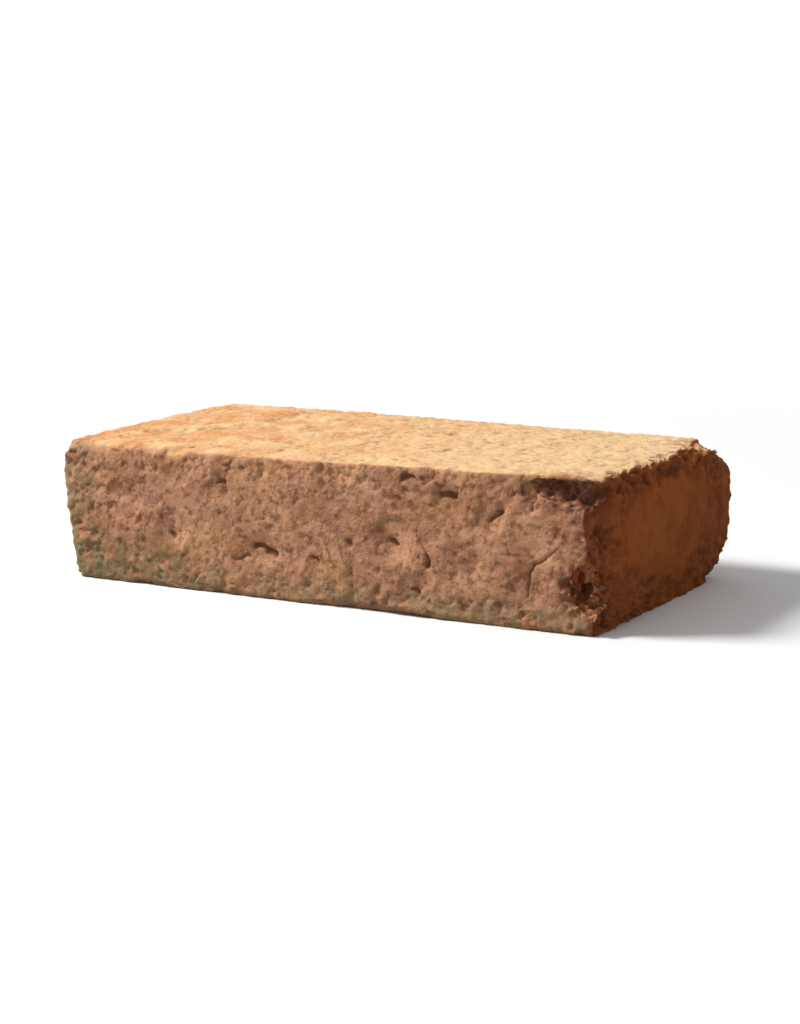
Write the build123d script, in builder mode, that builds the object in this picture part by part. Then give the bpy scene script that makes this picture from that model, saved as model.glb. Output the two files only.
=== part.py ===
from build123d import *
import os

# A reclaimed hand-moulded clay brick, lying on its bed.
# One fired piece: slightly wavy long faces with broad shallow hollows, two bulging
# ends, a flat bed, arrises worn by different amounts along their length, and corners
# broken by handling.
# X runs along the length, Y away from the stretcher face that shows, Z up.
# The origin is at the middle of the bed.

# Driving dimensions, in mm
LENGTH = 215.0          # over the bulges of both ends
WIDTH = 99.0            # over the stretcher faces
HEIGHT = 49.6           # mean thickness, bed to top
LEFT_BED_INSET = 4.6    # how far the left end stands in at the bed
LEFT_TOP_INSET = 0.9    # and an overrun above the top
LEFT_BULGE_AT = 38.0    # height at which the left end reaches furthest
RIGHT_BED_INSET = 4.4   # the same for the right end
RIGHT_TOP_INSET = 3.0
RIGHT_BULGE_AT = 26.0
LEFT_SKEW = 4.4         # how much further the left end reaches at the front than at the back
RIGHT_SKEW = 1.6        # how much further the right end reaches at the back
CROWN = 0.5             # swell of the top between its edges
BELLY = 0.4             # swell of a stretcher face between top and bed
BED_ARRIS = 2.6         # radius worn on the long arrises of the bed
END_ARRIS = 2.0         # radius worn round each end, less than any corner it passes
BED_TRIM = 0.5          # clay below the bed that striking it flat takes off
OVERRUN = 8.0           # how far a trimming profile runs past the clay

HALF_L = LENGTH / 2
HALF_W = WIDTH / 2
HALF_H = HEIGHT / 2

# Cross-sections of the clay along the length, the first and last of them past the
# ends, which are trimmed later. Each gives its place, how far the front and back
# faces stand in from the full width, how far the top stands above or below the mean
# height at its front and back edges, and the radius worn on those two top arrises.
SECTIONS = [
    # x / half length, front in, back in, top front, top back, front radius, back radius
    (-1.08, 0.5, 0.8, -0.5, 1.0, 4.0, 2.8),
    (-0.62, 0.1, 0.2, 0.0, 0.8, 3.2, 2.0),
    (-0.15, 0.5, 0.0, -0.3, 0.4, 1.8, 2.2),
    (0.35, 0.1, 0.3, 0.2, -0.3, 1.0, 2.6),
    (0.66, 0.2, 0.3, 0.7, -0.8, 1.4, 2.6),
    (1.08, 0.8, 0.6, 0.9, -1.2, 3.2, 3.2),
]

# Scoops where the fired clay has broken away, shell-shaped as such breaks are. Each
# gives a point at the unbroken surface, the way the break faces, the radius of the
# hollow and how deep it bites below that point.
BREAKS = [
    # point, facing, radius, depth
    # The broken top corner at the back of the right end, with two smaller bites beside it
    ((106, 40, 49), (0.60, 0.20, 0.77), 46, 6.6),
    ((106, 20, 49), (0.75, -0.10, 0.65), 17, 3.2),
    ((98, 49, 48), (0.25, 0.70, 0.67), 11, 3.0),
    # The worn front upright of the right end, in two shallow sweeps that meet the end at
    # a grazing angle
    ((105, -49, 36), (0.88, -0.47, 0.00), 18, 6.6),
    ((105, -49, 23), (0.90, -0.43, 0.00), 24, 5.6),
    # The bite low on that upright, and the one beside the bed corner
    ((97, -49, 15.5), (0.80, -0.60, 0.00), 9, 3.4),
    ((105, -46, 4), (0.90, -0.30, -0.30), 8, 3.9),
    # The bed corner at the back of the right end
    ((104, 46, 1), (0.62, 0.48, -0.62), 20, 5.2),
    # Bites along the bed edge of the right end
    ((104, -29, 0), (0.72, -0.08, -0.69), 10, 2.8),
    ((104, -14, 0), (0.70, 0.12, -0.70), 7, 2.0),
    # The rubbed top corner at the front of the left end
    ((-107, -49, 49), (-0.60, -0.50, 0.62), 17, 3.6),
    # The bed arris at the front, worn up along the middle, and two nicks left of it
    ((20, -49.5, 0), (0.00, -0.70, -0.71), 300, 2.0),
    ((-75, -49.5, 0), (0.10, -0.72, -0.69), 13, 2.0),
    ((-40, -49.5, 0), (-0.08, -0.70, -0.71), 9, 1.8),
    # The small bite left of the undercut hollow
    ((79, -49.3, 44.5), (0.00, -1.00, 0.10), 3.5, 1.8),
    # A small nick along the top arris at the front
    ((-58, -49.5, 49.6), (0.05, -0.62, 0.78), 12, 2.4),
]

# Broad shallow hollows in the crust, where the clay didn't fill the sanded mould or has
# weathered away: the distance across each, and how deep it is.
FACE_DEPTH = -49.5      # y of the stretcher face that shows
FACE_HOLLOWS = [
    # x, z, across, depth
    (-80, 31, 16, 1.0),
    (-60, 20, 13, 1.1),
    (-38, 38, 13, 1.0),
    (-21, 17, 15, 1.3),
    (-5, 32, 15, 0.9),
    (29, 25, 16, 1.2),
    (37, 9, 12, 1.1),
    (50, 40, 13, 1.1),
    (56, 18, 15, 1.0),
    (65, 35, 11, 1.1),
    (79, 14, 15, 1.2),
]
TOP_DEPTH = 50.1        # z of the top
TOP_HOLLOWS = [
    # x, y, across, depth
    (-78, -18, 20, 0.9),
    (-56, 22, 24, 1.0),
    (-18, -12, 22, 0.9),
    (26, 14, 24, 1.0),
]

# The undercut hollow below the top edge at the right of the front face. It is a
# tapered gouge along the face, widest at the end, which leaves a thin lip above it.
GOUGE_START = Vector(82, -49.0, 46.6)
GOUGE_END = Vector(102, -48.0, 44.4)
GOUGE_START_RADIUS = 2.4
GOUGE_END_RADIUS = 4.6

with BuildPart() as brick:
    # The clay as it filled the mould: each section is lofted straight into the next.
    for place, front_in, back_in, top_front, top_back, front_radius, back_radius in SECTIONS:
        front = -HALF_W + front_in
        back = HALF_W - back_in
        high_front = HEIGHT + top_front
        high_back = HEIGHT + top_back
        with BuildSketch(Plane.YZ.offset(place * HALF_L)) as section:
            with BuildLine():
                Line((front, -BED_TRIM), (back, -BED_TRIM))
                ThreePointArc((back, -BED_TRIM), (back + BELLY, HALF_H), (back, high_back))
                ThreePointArc(
                    (back, high_back),
                    (0, (high_front + high_back) / 2 + CROWN),
                    (front, high_front),
                )
                ThreePointArc((front, high_front), (front - BELLY, HALF_H), (front, -BED_TRIM))
            make_face()
            for corner, radius in [
                ((front, high_front), front_radius),
                ((back, high_back), back_radius),
                ((front, -BED_TRIM), BED_ARRIS),
                ((back, -BED_TRIM), BED_ARRIS),
            ]:
                fillet(section.vertices().sort_by_distance((*corner, 0))[0], radius)
    loft(ruled=True)

    # The side profile bulges both ends. It is lofted from a place in front of the clay
    # to one behind it, because neither end is square to the length.
    profile_top = HEIGHT + OVERRUN
    profile_foot = -2 * BED_TRIM
    for reach in (-WIDTH, WIDTH):
        left = -HALF_L + LEFT_SKEW * (HALF_W + reach) / WIDTH
        right = HALF_L - RIGHT_SKEW * (HALF_W - reach) / WIDTH
        with BuildSketch(Plane.XZ.offset(-reach)):
            with BuildLine():
                Line((left + LEFT_BED_INSET, profile_foot), (right - RIGHT_BED_INSET, profile_foot))
                ThreePointArc(
                    (right - RIGHT_BED_INSET, profile_foot),
                    (right, RIGHT_BULGE_AT),
                    (right - RIGHT_TOP_INSET, profile_top),
                )
                Line((right - RIGHT_TOP_INSET, profile_top), (left + LEFT_TOP_INSET, profile_top))
                ThreePointArc(
                    (left + LEFT_TOP_INSET, profile_top),
                    (left, LEFT_BULGE_AT),
                    (left + LEFT_BED_INSET, profile_foot),
                )
            make_face()
    loft(mode=Mode.INTERSECT)

    # Both ends are rounded by wear, all the way round.
    for which_end in (0, -1):
        end = brick.faces().sort_by(Axis.X)[which_end]
        fillet(end.edges(), END_ARRIS)

    # The bed is struck flat.
    split(bisect_by=Plane.XY, keep=Keep.TOP)

    # The breaks: a ball centred outside the clay takes each one.
    for point, facing, radius, depth in BREAKS:
        centre = Vector(*point) + Vector(*facing).normalized() * (radius - depth)
        with Locations(centre):
            Sphere(radius, mode=Mode.SUBTRACT)

    # The hollows are taken the same way. The ball's radius follows from the distance
    # across and the depth, and over the top it is turned to keep its pole out of the cut.
    for x, z, across, depth in FACE_HOLLOWS:
        radius = (across**2 / 4 + depth**2) / (2 * depth)
        with Locations((x, FACE_DEPTH - radius + depth, z)):
            Sphere(radius, mode=Mode.SUBTRACT)
    for x, y, across, depth in TOP_HOLLOWS:
        radius = (across**2 / 4 + depth**2) / (2 * depth)
        with Locations(Location((x, y, TOP_DEPTH + radius - depth), (90, 0, 0))):
            Sphere(radius, mode=Mode.SUBTRACT)

    # The gouge, with a ball at each end.
    along = GOUGE_END - GOUGE_START
    with Locations(Plane(origin=GOUGE_START, z_dir=along)):
        Cone(
            GOUGE_START_RADIUS,
            GOUGE_END_RADIUS,
            along.length,
            align=(Align.CENTER, Align.CENTER, Align.MIN),
            mode=Mode.SUBTRACT,
        )
    for centre, radius in ((GOUGE_START, GOUGE_START_RADIUS), (GOUGE_END, GOUGE_END_RADIUS)):
        with Locations(centre):
            Sphere(radius, mode=Mode.SUBTRACT)

brick.part.label = "brick"

os.makedirs("parts", exist_ok=True)
export_step(brick.part, "parts/brick.step")
box = brick.part.bounding_box()
print("size", box.size, "low", box.min, "high", box.max)
print("solids", len(brick.part.solids()), "volume, litres", round(brick.part.volume / 1e6, 4))
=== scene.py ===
import math

import bmesh
import bpy
import numpy as np
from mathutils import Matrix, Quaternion, Vector, noise


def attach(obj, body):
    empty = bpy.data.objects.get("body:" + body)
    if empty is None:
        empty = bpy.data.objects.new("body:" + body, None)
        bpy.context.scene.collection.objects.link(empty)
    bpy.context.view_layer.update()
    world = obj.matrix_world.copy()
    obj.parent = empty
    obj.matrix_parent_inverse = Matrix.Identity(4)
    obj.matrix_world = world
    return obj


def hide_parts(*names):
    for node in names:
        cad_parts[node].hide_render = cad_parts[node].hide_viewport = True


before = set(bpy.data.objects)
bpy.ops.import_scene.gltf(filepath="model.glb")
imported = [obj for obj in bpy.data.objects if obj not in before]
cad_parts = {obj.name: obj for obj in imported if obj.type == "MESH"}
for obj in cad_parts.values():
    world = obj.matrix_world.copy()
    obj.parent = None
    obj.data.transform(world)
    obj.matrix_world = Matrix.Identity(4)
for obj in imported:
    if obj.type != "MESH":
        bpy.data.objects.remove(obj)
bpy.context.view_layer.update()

# The camera stands to the right of the stretcher face and a little above it, with a
# long lens, and is rolled slightly, as a hand-held one is.
CAMERA_PLACE = Vector((0.3660, -0.6108, 0.1593))
CAMERA_AIM = Vector((0.0029, 0.0, 0.0235))
CAMERA_ROLL = -1.19
CAMERA_LENS = 72.4

camera_data = bpy.data.cameras.new("camera")
camera_data.lens = CAMERA_LENS
camera_data.clip_start = 0.01
camera = bpy.data.objects.new("camera", camera_data)
bpy.context.scene.collection.objects.link(camera)
camera.rotation_mode = "QUATERNION"
camera.location = CAMERA_PLACE
level_view = (CAMERA_AIM - CAMERA_PLACE).to_track_quat("-Z", "Y")
camera.rotation_quaternion = level_view @ Quaternion((0, 0, 1), math.radians(CAMERA_ROLL))
bpy.context.scene.camera = camera

# The brick is one piece of fired clay, thrown into a sanded wooden mould and struck off
# with a stick that drags the top. The solid's copy is filled up in places, given an even
# mesh and roughened vertex by vertex, as years of use and weather have done.
MM = 0.001

brick_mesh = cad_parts["brick"].data.copy()
brick_mesh.name = "weathered_brick"
brick_mesh.materials.clear()
brick = bpy.data.objects.new("weathered_brick", brick_mesh)
bpy.context.scene.collection.objects.link(brick)

# Three of the solid's round cuts take more clay than the brick has lost, so faceted
# lumps fill them up to these points, in millimetres: the top corner at the back of the
# right end, the right of the low bite on the upright, and the right of the hollow.
MERGED_BELOW = 1e-6
LUMPS = [
    [
        (84, 30, 40), (84, 46, 40), (100, 28, 36), (100, 45, 30),
        (82, 48.3, 48.2), (85, 32, 49.6), (97, 30, 49.3), (93, 48.0, 47.6),
        (98.5, 47.6, 46.2), (103.2, 45.8, 45.0), (105.4, 40.6, 45.4), (105.9, 31, 47.4),
        (106.2, 44.5, 41.5), (106.6, 46.8, 37.0), (106.9, 32, 40),
    ],
    [
        (98.4, -47.6, 20.5), (98.9, -47.4, 13.5), (101.6, -45.8, 22.5), (103.4, -43.2, 19),
        (104.2, -42.8, 11), (101.2, -46.4, 9.5), (97.0, -44.0, 19), (97.5, -43.0, 9.5),
        (101, -40, 23), (103, -40, 9),
    ],
    [
        (95.0, -46.8, 49.2), (97.0, -47.9, 45.6), (99.0, -46.8, 48.0), (103.6, -44.4, 49.0),
        (104.4, -44.6, 42.5), (101.0, -47.3, 41.0), (96.5, -44.0, 41.0), (95.0, -41.0, 47),
        (103.0, -39.0, 46),
    ],
]
joined = bmesh.new()
joined.from_mesh(brick_mesh)
bmesh.ops.remove_doubles(joined, verts=joined.verts, dist=MERGED_BELOW)
for points in LUMPS:
    lump = [joined.verts.new(Vector(point) * MM) for point in points]
    hull = bmesh.ops.convex_hull(joined, input=lump)
    bmesh.ops.delete(joined, geom=hull["geom_interior"], context="VERTS")
joined.to_mesh(brick_mesh)
joined.free()


def apply_modifiers(piece):
    """Takes what the piece's modifiers make as its own mesh."""
    graph = bpy.context.evaluated_depsgraph_get()
    made = bpy.data.meshes.new_from_object(piece.evaluated_get(graph))
    piece.modifiers.clear()
    old = piece.data
    piece.data = made
    bpy.data.meshes.remove(old)


def vertex_places(mesh):
    """The mesh's vertices as an array of rows x, y, z, in metres."""
    places = np.zeros(len(mesh.vertices) * 3)
    mesh.vertices.foreach_get("co", places)
    return places.reshape(-1, 3)


def vertex_normals(mesh):
    """The mesh's vertex normals as rows."""
    normals = np.zeros(len(mesh.vertices) * 3)
    mesh.vertex_normals.foreach_get("vector", normals)
    return normals.reshape(-1, 3)


VOXEL = 0.00062
even = brick.modifiers.new("even_mesh", "REMESH")
even.mode = "VOXEL"
even.voxel_size = VOXEL
even.use_smooth_shade = True
apply_modifiers(brick)

# How sharply each place stands out, from the brick against a rubbed-down copy of it.
RUBBING_ROUNDS = 50
rubbed = bpy.data.objects.new("rubbed_copy", brick.data.copy())
bpy.context.scene.collection.objects.link(rubbed)
rubbing = rubbed.modifiers.new("rubbing", "SMOOTH")
rubbing.factor = 0.5
rubbing.iterations = RUBBING_ROUNDS
apply_modifiers(rubbed)
places = vertex_places(brick.data)
normals = vertex_normals(brick.data)
standing_out = ((places - vertex_places(rubbed.data)) * normals).sum(axis=1) / MM
rubbed_mesh = rubbed.data
bpy.data.objects.remove(rubbed)
bpy.data.meshes.remove(rubbed_mesh)

# The noise is shifted by this seed, so that every run shapes the same crust.
NOISE_SEED = 7
noise.seed_set(NOISE_SEED)

# The crust, from long swells down to coarse sand: how far across, and how high, in mm.
CRUST = [(38.0, 0.24), (13.0, 0.28), (6.0, 0.34), (3.0, 0.42), (1.5, 0.26)]

# Where broken clay is coarse: the middle, how far it reaches and how rough it is, in mm.
BROKEN = [
    ((97.5, -46.5, 14.5), 12.0, 2.6),
    ((104.0, -45.0, 3.0), 10.0, 2.6),
    ((103.0, -46.5, 30.0), 12.0, 1.3),
    ((92.0, -46.5, 45.0), 13.0, 0.9),
    ((101.0, 37.0, 45.0), 15.0, 1.3),
    ((103.0, 44.0, 2.0), 12.0, 1.6),
    ((104.0, -18.0, 2.0), 13.0, 1.5),
    ((-103.0, -46.0, 46.0), 10.0, 0.9),
]

# Pits and torn lines in the crust. Each kind has a shift that sets it apart from the
# others, how far across it is and how deep at most, in mm, then how widespread it is
# and how much more so near the arrises.
PITS = [
    (Vector((0.0, 0.0, 0.0)), 4.4, 1.00, 0.20, 0.22),
    (Vector((31.0, 17.0, 53.0)), 2.6, 0.70, 0.42, 0.16),
]
CREVICES = [
    (Vector((0.0, 0.0, 0.0)), 6.5, 0.50, -0.06, 0.10),
    (Vector((11.0, 47.0, 29.0)), 3.4, 0.34, 0.04, 0.00),
]

# The right end is smooth in its middle and rougher towards its border: the height of
# the middle, and how far it is from there to the border along Y and along Z, in mm.
END_MIDDLE_HEIGHT = 27.0
END_TO_BORDER_Y = 42.0
END_TO_BORDER_Z = 20.0
RIM_CHIPS = 1.7

# The undercut hollow below the top edge: its line, how far it reaches from that line at
# each end, and the underside of the lip above it. Then how much deeper it is than the
# solid's, and how far the lip's front edge is chipped back. All are in mm.
HOLLOW_START = Vector((82.0, -49.0, 46.6))
HOLLOW_END = Vector((102.0, -48.0, 44.4))
HOLLOW_REACHES = (2.6, 5.0)
HOLLOW_ROOF = 48.9
HOLLOW_DEEPENED = 1.5
LIP_CHIPS = 1.4

# Marks that can be placed one by one on the stretcher face, in mm: each runs from one
# end to the other, given as x and z, with its reach to either side and its depth.
FACE_MARKS = [
    ((-24.5, 18.6), (-17.5, 15.8), 1.6, 1.7),
    ((-34.0, 13.0), (-27.0, 14.6), 0.9, 0.7),
    ((65.0, 34.6), (69.5, 37.4), 1.0, 1.1),
    ((89.0, 27.5), (84.5, 23.6), 0.45, 0.5),
    ((84.5, 23.6), (80.5, 21.4), 0.52, 0.8),
    ((80.5, 21.4), (78.3, 17.6), 0.50, 0.9),
    ((78.3, 17.6), (77.6, 10.5), 0.48, 0.7),
    ((95.4, 19.0), (96.6, 13.0), 0.90, 1.1),
    ((80.5, 43.0), (80.0, 39.0), 1.0, 0.8),
    ((47.5, 41.0), (52.5, 41.3), 1.5, 1.3),
    ((28.0, 24.5), (30.0, 23.4), 1.3, 1.2),
    ((36.6, 9.0), (38.2, 7.8), 1.4, 1.3),
    ((-61.5, 19.2), (-59.5, 18.4), 1.1, 1.0),
    ((12.0, 23.2), (13.6, 22.2), 1.1, 1.0),
    ((33.5, 45.6), (37.0, 46.0), 1.1, 1.1),
    ((-39.5, 39.2), (-37.6, 38.8), 1.0, 0.9),
    ((42.0, 21.5), (42.4, 17.5), 1.1, 1.1),
    ((-2.4, 16.2), (0.4, 15.2), 1.1, 1.0),
]


def ramp(low, high, value):
    """0 below low, 1 above high, and smooth between."""
    part = min(max((value - low) / (high - low), 0.0), 1.0)
    return part * part * (3.0 - 2.0 * part)


def pits(place, cell, share):
    """How deep the place lies in a pit, 0 to 1, with a pit in that share of the cells."""
    bent = place / cell + 0.25 * noise.noise_vector(place / (0.5 * cell))
    distances, centres = noise.voronoi(bent)
    if abs(noise.cell(centres[0] * 7.31)) > share:
        return 0.0
    size = 0.22 + 0.28 * abs(noise.cell(centres[0] * 3.17))
    return 2.0 * size * max(1.0 - (distances[0] / size) ** 2, 0.0)


def crevices(place, size, spread):
    """How deep the place lies in a torn line of the crust, 0 to 1."""
    bent = place / size + 0.35 * noise.noise_vector(place / (0.6 * size))
    opened = ramp(0.0, 0.30, spread + noise.noise(place / (1.8 * size) + Vector((7.7, 3.1, 5.3))))
    return opened * (1.0 - ramp(0.02, 0.14, abs(noise.noise(bent))))


def crust_cavity(place, near_arris):
    """How deep the place lies in any pit or torn line of the crust, 0 to 1."""
    deepest = 0.0
    for depth_in, kinds in ((pits, PITS), (crevices, CREVICES)):
        for shift, across, depth, spread, more in kinds:
            here = depth_in(place + shift, across, spread + more * near_arris)
            deepest = max(deepest, depth * here)
    return deepest


def broken(place):
    """How coarse the broken clay is at the place, in millimetres, and 0 to 1."""
    coarse, share = 0.0, 0.0
    for middle, reach, height in BROKEN:
        near = 1.0 - ramp(0.35 * reach, reach, (place - Vector(middle)).length)
        coarse = max(coarse, height * near)
        share = max(share, near)
    return coarse, share


def in_hollow(place):
    """Whether the place is inside the undercut hollow, then whether on its lip, 0 to 1."""
    line = HOLLOW_END - HOLLOW_START
    part = min(max((place - HOLLOW_START).dot(line) / line.length_squared, 0.0), 1.0)
    reach = HOLLOW_REACHES[0] + part * (HOLLOW_REACHES[1] - HOLLOW_REACHES[0])
    away = (place - HOLLOW_START - line * part).length / reach
    below_roof = 1.0 - ramp(HOLLOW_ROOF - 0.3, HOLLOW_ROOF + 0.1, place.z)
    inside = (1.0 - ramp(0.94, 1.10, away)) * below_roof
    lip = (1.0 - ramp(1.3, 1.9, away)) * ramp(47.0, 48.2, place.z)
    return inside, lip


def face_marks(place):
    """Depth in millimetres that the placed marks take at a place on the stretcher face."""
    deepest = 0.0
    wander = noise.noise(Vector((place.x / 3.0, place.z / 3.0, 4.0)))
    for start, end, reach, depth in FACE_MARKS:
        line = Vector(end) - Vector(start)
        here = Vector((place.x + wander, place.z + wander)) - Vector(start)
        part = min(max(here.dot(line) / line.length_squared, 0.0), 1.0)
        away = (here - line * part).length
        deepest = max(deepest, depth * (1.0 - ramp(reach * 0.3, reach, away)))
    return deepest


def drag_marks(place):
    """Depth in millimetres of what the striking stick dragged along the top."""
    fine = noise.noise(Vector((place.x / 42.0, place.y / 1.5, 8.0)))
    long = noise.noise(Vector((place.x / 30.0, place.y / 3.6, 3.0)))
    torn = noise.noise(Vector((place.x / 7.0, place.y / 2.6, 2.0)))
    return 0.14 * fine + 0.34 * ramp(0.08, 0.5, long) + 0.62 * ramp(0.26, 0.50, torn)


def end_border(place, endward, to_border):
    """Whether the place is near the border of the right end, 0 to 1, and what is dug
    there, in millimetres."""
    border = endward * ramp(0.62, 1.0, to_border + 0.25 * noise.noise(place / 9.0))
    rough = 0.1 + 1.2 * noise.noise(place / 4.4) + 1.1 * abs(noise.noise(place / 2.1))
    return border, border * rough


def rubbed_off(place):
    """Depth in millimetres that wear takes from the sharpest arris at the place."""
    return 0.15 + max(noise.noise(place / 4.6), -0.2) + 0.6 * noise.noise(place / 2.1)


def rim_chipped(place):
    """How chipped the top rim of the right end is at the place, 0 to 1."""
    rim = ramp(98.0, 101.5, place.x) * ramp(40.0, 44.5, place.z) * ramp(-46.0, -40.0, place.y)
    return rim * ramp(0.0, 0.28, noise.noise(place / 3.1) + 0.4 * noise.noise(place / 1.6))


def between_ridges(place):
    """How far the place lies below the sharp ridges of broken clay, 0 to about 1."""
    below = abs(noise.noise(place / 4.3)) + 0.7 * abs(noise.noise(place / 2.1))
    return below + 0.45 * abs(noise.noise(place / 1.15))


def relief(place, normal, edge):
    """How far a place moves along its normal, in mm, then four masks, each 0 to 1: how
    deep it lies, how broken the clay is, whether it is in the undercut hollow, and how
    near it is to the border of the right end."""
    crust = sum(height * noise.noise(place / size) for size, height in CRUST)
    upward = ramp(0.6, 0.9, normal.z) * ramp(44.0, 47.0, place.z)
    endward = ramp(0.4, 0.8, normal.x)
    to_border = math.hypot(place.y / END_TO_BORDER_Y, (place.z - END_MIDDLE_HEIGHT) / END_TO_BORDER_Z)
    end_middle = endward * (1.0 - ramp(0.55, 0.90, to_border))
    near_top = ramp(36.0, 44.0, place.z)
    near_foot = 1.0 - ramp(4.0, 12.0, place.z)
    near_left_end = 1.0 - ramp(-95.0, -60.0, place.x)
    near_arris = max(near_top, near_foot, near_left_end)
    # Roughest near the arrises, and smoother on the struck top and in the end's middle.
    rough = (0.62 + 0.38 * near_arris) * (1.0 - 0.30 * upward) * (1.0 - 0.55 * end_middle)
    coarse, share = broken(place)
    cavity = crust_cavity(place, near_arris)
    border, dug_at_border = end_border(place, endward, to_border)
    dug = cavity * rough + upward * drag_marks(place) + dug_at_border
    if normal.y < -0.6:
        marks = face_marks(place)
        dug += marks
        cavity = max(cavity, min(marks, 1.0))
    dug += ramp(0.05, 0.9, edge) * rubbed_off(place)
    chips = rim_chipped(place)
    dug += RIM_CHIPS * chips
    torn = between_ridges(place)
    dug += coarse * (1.7 * torn - 0.35)
    cavity = max(cavity, chips, min(coarse, 1.0) * ramp(0.42, 0.75, torn))
    inside, lip = in_hollow(place)
    dug *= (1.0 - 0.85 * lip) * (1.0 - 0.4 * inside)
    forward = max(-normal.y, 0.0)
    dug += LIP_CHIPS * lip * forward * ramp(-0.1, 0.4, noise.noise(place / 2.7))
    uneven = 0.2 + 2.2 * abs(noise.noise(place / 2.4)) + 1.6 * noise.noise(place / 4.2)
    below_lip = 1.0 - ramp(46.8, 48.2, place.z)
    dug += HOLLOW_DEEPENED * inside * uneven * below_lip * forward
    return crust * rough - dug, cavity, share, inside, border


# Nothing rises further than this, in mm, and the bed, which lies flat, is only dented.
HIGHEST_RISE = 0.45
BED_DENTS = 0.5
FACES_DOWN = -0.7
moved_places = places.copy()
made_masks = np.zeros((len(places), 4))
for index, (spot, facing) in enumerate(zip(places, normals)):
    normal = Vector(facing)
    rise, *made_masks[index] = relief(Vector(spot) / MM, normal, standing_out[index])
    if normal.z < FACES_DOWN:
        rise = BED_DENTS * min(rise, 0.0)
    moved_places[index] = spot + facing * min(rise, HIGHEST_RISE) * MM
moved_places[:, 2] = np.maximum(moved_places[:, 2], 0.0)
brick.data.vertices.foreach_set("co", moved_places.ravel())
brick.data.update()


def share_above(low, high, values):
    """0 where a value is below low, 1 where it is above high, and even between."""
    return np.clip((values - low) / (high - low), 0.0, 1.0)


# What the material needs to know of each place on the brick, each 0 to 1.
high_up = share_above(45.0, 47.5, places[:, 2] / MM)
at_right = share_above(84.0, 90.0, places[:, 0] / MM)
masks = {
    "cavity": made_masks[:, 0],
    "broken": made_masks[:, 1],
    "undercut": made_masks[:, 2],
    "end_border": made_masks[:, 3],
    "edge": share_above(0.0, 0.9, standing_out),
    "top_side": share_above(0.5, 0.9, normals[:, 2]) * high_up,
    "right_end": share_above(0.15, 0.50, normals[:, 0]) * at_right,
    "face_side": share_above(0.3, 0.7, -normals[:, 1]),
}
for name, values in masks.items():
    layer = brick.data.attributes.new(name, "FLOAT", "POINT")
    layer.data.foreach_set("value", values.astype(np.float32))

# Even faces are only needed while the crust is shaped: flat stretches get larger ones.
TRIANGLES = 186000
thinning = brick.modifiers.new("thinning", "DECIMATE")
thinning.ratio = TRIANGLES / (2 * len(brick.data.polygons))
thinning.use_collapse_triangulate = True
apply_modifiers(brick)

# Fired clay: matt and porous, sandy on the outside, redder where it is broken.
clay = bpy.data.materials.new("weathered_fired_clay")
clay.use_nodes = True
nodes = clay.node_tree.nodes
links = clay.node_tree.links
nodes.clear()
output = nodes.new("ShaderNodeOutputMaterial")
shader = nodes.new("ShaderNodeBsdfPrincipled")
shader.inputs["Specular IOR Level"].default_value = 0.10
links.new(shader.outputs["BSDF"], output.inputs["Surface"])
coordinates = nodes.new("ShaderNodeTexCoord").outputs["Object"]


def mask(name):
    """The brick's own mask of that name."""
    node = nodes.new("ShaderNodeAttribute")
    node.attribute_name = name
    return node.outputs["Fac"]


def stretched(value, low, high):
    """The value mapped from low..high to 0..1 and clamped."""
    node = nodes.new("ShaderNodeMapRange")
    node.inputs["From Min"].default_value = low
    node.inputs["From Max"].default_value = high
    links.new(value, node.inputs["Value"])
    return node.outputs["Result"]


def cloud(size_mm, low, high, detail=3.0):
    """Noise with features of that size, stretched to 0 at low and 1 at high."""
    texture = nodes.new("ShaderNodeTexNoise")
    texture.inputs["Scale"].default_value = 1.0 / (size_mm * MM)
    texture.inputs["Detail"].default_value = detail
    links.new(coordinates, texture.inputs["Vector"])
    return stretched(texture.outputs["Fac"], low, high)


def times(first, second):
    """The product of two values, the second a socket or a number."""
    node = nodes.new("ShaderNodeMath")
    node.operation = "MULTIPLY"
    links.new(first, node.inputs[0])
    if isinstance(second, float):
        node.inputs[1].default_value = second
    else:
        links.new(second, node.inputs[1])
    return node.outputs["Value"]


def tinted(under, amount, colour):
    """The colour under, mixed towards a colour by that amount."""
    node = nodes.new("ShaderNodeMix")
    node.data_type = "RGBA"
    links.new(amount, node.inputs["Factor"])
    if isinstance(under, tuple):
        node.inputs[6].default_value = (*under, 1.0)
    else:
        links.new(under, node.inputs[6])
    node.inputs[7].default_value = (*colour, 1.0)
    return node.outputs[2]


# The clay's colours: its body, the sandy top, partly painted light, the right end, partly
# painted shade, what is broken, the painted shade in pits and hollow, and its grains. The last two are
# the growth's.
CLAY_BROWN = (0.450, 0.206, 0.104)
CLAY_PINK = (0.640, 0.322, 0.184)
CLAY_OCHRE = (0.620, 0.325, 0.145)
CLAY_PURPLE = (0.340, 0.160, 0.110)
SANDY_AND_LIT_TOP = (0.800, 0.550, 0.295)
TOP_ORANGE = (0.640, 0.275, 0.105)
END_RED_AND_SHADE = (0.410, 0.105, 0.014)
END_MAROON = (0.215, 0.058, 0.022)
FRESH_RED = (0.400, 0.140, 0.075)
CAVITY_SHADE_AND_SPECK_BROWN = (0.170, 0.062, 0.030)
HOLLOW_SHADE = (0.120, 0.044, 0.030)
GRAIN_DARK = (0.230, 0.100, 0.050)
GRAIN_PALE = (0.780, 0.520, 0.330)
MOSS = (0.200, 0.150, 0.062)
LICHEN = (0.310, 0.240, 0.130)

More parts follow.
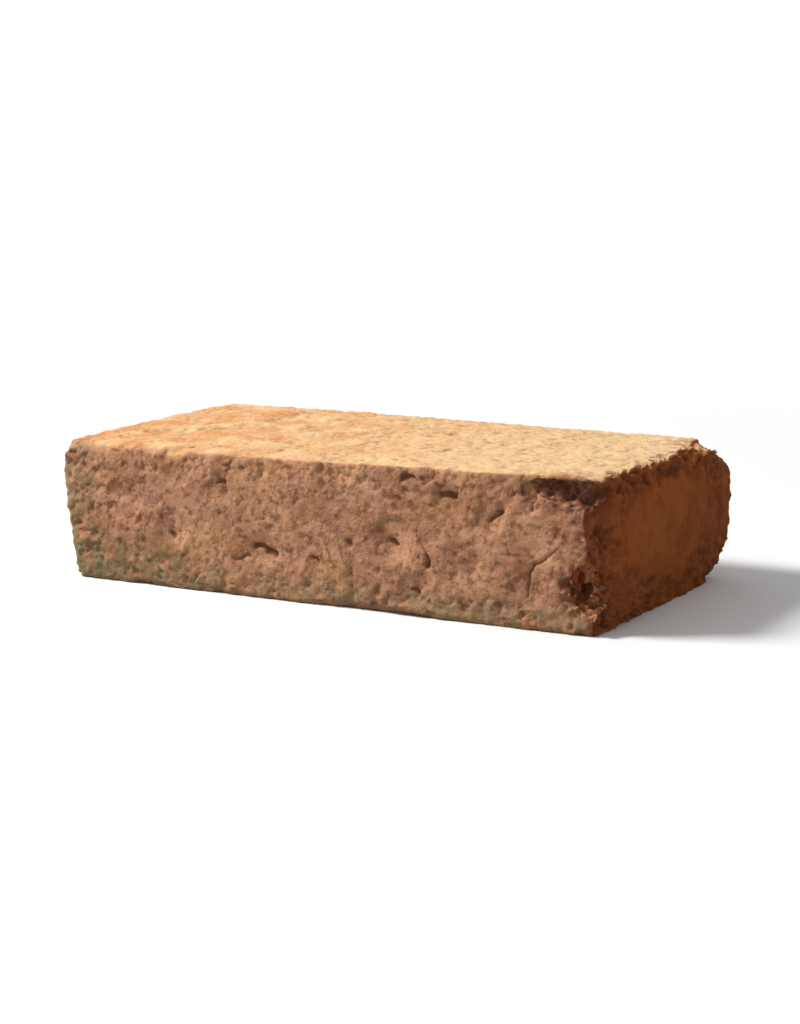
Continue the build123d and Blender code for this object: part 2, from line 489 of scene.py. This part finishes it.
separate = nodes.new("ShaderNodeSeparateXYZ")
links.new(coordinates, separate.inputs["Vector"])
colour = tinted(CLAY_BROWN, cloud(11.0, 0.36, 0.62), CLAY_PINK)
colour = tinted(colour, times(cloud(14.0, 0.48, 0.70), 0.60), CLAY_OCHRE)
colour = tinted(colour, times(cloud(23.0, 0.52, 0.68), 0.50), CLAY_PURPLE)
colour = tinted(colour, times(cloud(3.6, 0.50, 0.66), 0.46), GRAIN_DARK)
# Dark specks over the stretcher face, in the same brown as the painted shade in the pits.
speck_places = times(cloud(2.5, 0.55, 0.63, 2.0), mask("face_side"))
colour = tinted(colour, times(speck_places, 0.55), CAVITY_SHADE_AND_SPECK_BROWN)
colour = tinted(colour, times(cloud(1.8, 0.54, 0.72), 0.30), GRAIN_PALE)
top_patches = times(cloud(12.0, 0.30, 0.60), stretched(separate.outputs["X"], 80.0 * MM, -70.0 * MM))
# The top is paler and yellower: partly its sand and mortar, partly painted light where the lamp falls
# on it.
colour = tinted(colour, times(mask("top_side"), 0.90), SANDY_AND_LIT_TOP)
colour = tinted(colour, times(times(mask("top_side"), top_patches), 0.85), TOP_ORANGE)
# Painted highlight: sharp arrises and lumps are tinted paler pink in patches, where edges catch the
# light.
colour = tinted(colour, times(times(mask("edge"), cloud(4.0, 0.35, 0.65)), 0.55), CLAY_PINK)
# The right end is darker and redder: partly the end's own clay, partly painted shade and painted
# orange bounce light.
colour = tinted(colour, times(mask("right_end"), 0.92), END_RED_AND_SHADE)
border_patches = times(mask("end_border"), cloud(3.4, 0.38, 0.58, 4.0))
colour = tinted(colour, times(border_patches, 0.62), END_MAROON)
end_patches = times(mask("right_end"), cloud(10.0, 0.46, 0.66))
colour = tinted(colour, times(end_patches, 0.45), END_MAROON)
colour = tinted(colour, times(times(mask("broken"), cloud(2.6, 0.38, 0.58, 4.0)), 0.50), FRESH_RED)
# Painted shade: pits, torn lines, marks, chips and the troughs of broken clay are darkened towards a
# shade brown.
colour = tinted(colour, times(mask("cavity"), 0.70), CAVITY_SHADE_AND_SPECK_BROWN)
# Painted shade: the undercut hollow below the top edge is darkened in patches, as the shade under its
# lip.
colour = tinted(colour, times(times(mask("undercut"), cloud(2.0, 0.30, 0.58, 4.0)), 0.85), HOLLOW_SHADE)

# Growth: on the stretcher face only, thickest low down at the left end; the face also darkens in
# patches towards its foot.
low_down = stretched(separate.outputs["Z"], 22.0 * MM, 10.0 * MM)
at_foot = stretched(separate.outputs["Z"], 11.0 * MM, 3.0 * MM)
leftward = stretched(separate.outputs["X"], -34.0 * MM, -66.0 * MM)
left_edge = stretched(separate.outputs["X"], -86.0 * MM, -101.0 * MM)
patchy = times(cloud(5.0, 0.38, 0.58), mask("face_side"))
colour = tinted(colour, times(times(times(low_down, leftward), patchy), 0.85), MOSS)
# The stretcher face is darker towards its foot, in patches, in the lichen colour.
colour = tinted(colour, times(times(at_foot, patchy), 0.72), LICHEN)
colour = tinted(colour, times(times(left_edge, patchy), 0.60), LICHEN)
links.new(colour, shader.inputs["Base Color"])

# The crust is matt all over, a little less so in patches, and finely grained.
roughness = nodes.new("ShaderNodeMapRange")
roughness.inputs["To Min"].default_value = 0.84
roughness.inputs["To Max"].default_value = 0.97
links.new(cloud(3.0, 0.3, 0.7), roughness.inputs["Value"])
links.new(roughness.outputs["Result"], shader.inputs["Roughness"])

normal_so_far = None
for size_mm, height_mm, detail in ((1.3, 0.17, 3.0), (0.5, 0.07, 2.0)):
    bump = nodes.new("ShaderNodeBump")
    bump.inputs["Distance"].default_value = height_mm * MM
    links.new(cloud(size_mm, 0.25, 0.75, detail), bump.inputs["Height"])
    if normal_so_far is not None:
        links.new(normal_so_far, bump.inputs["Normal"])
    normal_so_far = bump.outputs["Normal"]
links.new(normal_so_far, shader.inputs["Normal"])

brick.data.materials.append(clay)
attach(brick, "root")
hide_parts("brick")

# The floor is a plain pale studio sheet. Away from the brick it fades to the white of
# the surround, and it throws less light back up than it shows to the camera.
FLOOR_HALF = 3.0
FLOOR_SEEN = 0.90
FLOOR_BOUNCE = 0.32
FADE_STARTS = 0.18
FADE_ENDS = 0.50
floor_shape = bmesh.new()
bmesh.ops.create_grid(floor_shape, x_segments=1, y_segments=1, size=FLOOR_HALF)
floor_mesh = bpy.data.meshes.new("floor")
floor_shape.to_mesh(floor_mesh)
floor_shape.free()
floor = bpy.data.objects.new("floor", floor_mesh)
bpy.context.scene.collection.objects.link(floor)


def seen_directly(tree):
    """1 for what the camera sees, also in a gloss or through glass, and 0 for light."""
    path = tree.nodes.new("ShaderNodeLightPath")
    seen = path.outputs["Is Camera Ray"]
    for kind in ("Is Glossy Ray", "Is Transmission Ray"):
        either = tree.nodes.new("ShaderNodeMath")
        either.operation = "MAXIMUM"
        tree.links.new(seen, either.inputs[0])
        tree.links.new(path.outputs[kind], either.inputs[1])
        seen = either.outputs["Value"]
    return seen


floor_finish = bpy.data.materials.new("pale_floor")
floor_finish.use_nodes = True
sheet = floor_finish.node_tree
floor_shader = sheet.nodes["Principled BSDF"]
floor_shader.inputs["Roughness"].default_value = 0.95
floor_shade = sheet.nodes.new("ShaderNodeMapRange")
floor_shade.inputs["To Min"].default_value = FLOOR_BOUNCE
floor_shade.inputs["To Max"].default_value = FLOOR_SEEN
sheet.links.new(seen_directly(sheet), floor_shade.inputs["Value"])
sheet.links.new(floor_shade.outputs["Result"], floor_shader.inputs["Base Color"])
floor_place = sheet.nodes.new("ShaderNodeTexCoord")
how_far = sheet.nodes.new("ShaderNodeVectorMath")
how_far.operation = "LENGTH"
sheet.links.new(floor_place.outputs["Object"], how_far.inputs[0])
fade = sheet.nodes.new("ShaderNodeMapRange")
fade.interpolation_type = "SMOOTHSTEP"
fade.inputs["From Min"].default_value = FADE_STARTS
fade.inputs["From Max"].default_value = FADE_ENDS
sheet.links.new(how_far.outputs["Value"], fade.inputs["Value"])
white_amount = sheet.nodes.new("ShaderNodeMath")
white_amount.operation = "MULTIPLY"
sheet.links.new(fade.outputs["Result"], white_amount.inputs[0])
sheet.links.new(seen_directly(sheet), white_amount.inputs[1])
white = sheet.nodes.new("ShaderNodeEmission")
white.inputs["Color"].default_value = (1.0, 1.0, 1.0, 1.0)
faded = sheet.nodes.new("ShaderNodeMixShader")
sheet.links.new(white_amount.outputs["Value"], faded.inputs[0])
sheet.links.new(floor_shader.outputs["BSDF"], faded.inputs[1])
sheet.links.new(white.outputs["Emission"], faded.inputs[2])
sheet.links.new(faded.outputs["Shader"], sheet.nodes["Material Output"].inputs["Surface"])
floor_mesh.materials.append(floor_finish)

# Soft studio light: one lamp high at the left that grazes the stretcher face, and an
# even pale surround that shows white to the camera.
KEY_PLACE = Vector((-0.98, -0.50, 1.18))
KEY_SIZE = 0.42
KEY_POWER = 31.0
SURROUND_LIGHT = 0.40
key_data = bpy.data.lights.new("key_lamp", "AREA")
key_data.energy = KEY_POWER
key_data.size = KEY_SIZE
key_lamp = bpy.data.objects.new("key_lamp", key_data)
bpy.context.scene.collection.objects.link(key_lamp)
key_lamp.location = KEY_PLACE
key_lamp.rotation_mode = "QUATERNION"
key_lamp.rotation_quaternion = (-KEY_PLACE).to_track_quat("-Z", "Y")

world = bpy.data.worlds.new("surround")
bpy.context.scene.world = world
world.use_nodes = True
sky = world.node_tree
sky.nodes.clear()
lighting = sky.nodes.new("ShaderNodeBackground")
lighting.inputs["Color"].default_value = (1.0, 1.0, 1.0, 1.0)
lighting.inputs["Strength"].default_value = SURROUND_LIGHT
backdrop = sky.nodes.new("ShaderNodeBackground")
backdrop.inputs["Color"].default_value = (1.0, 1.0, 1.0, 1.0)
backdrop.inputs["Strength"].default_value = 1.0
choice = sky.nodes.new("ShaderNodeMixShader")
sky.links.new(seen_directly(sky), choice.inputs[0])
sky.links.new(lighting.outputs["Background"], choice.inputs[1])
sky.links.new(backdrop.outputs["Background"], choice.inputs[2])
world_output = sky.nodes.new("ShaderNodeOutputWorld")
sky.links.new(choice.outputs["Shader"], world_output.inputs["Surface"])

bpy.context.scene.view_settings.view_transform = "Standard"
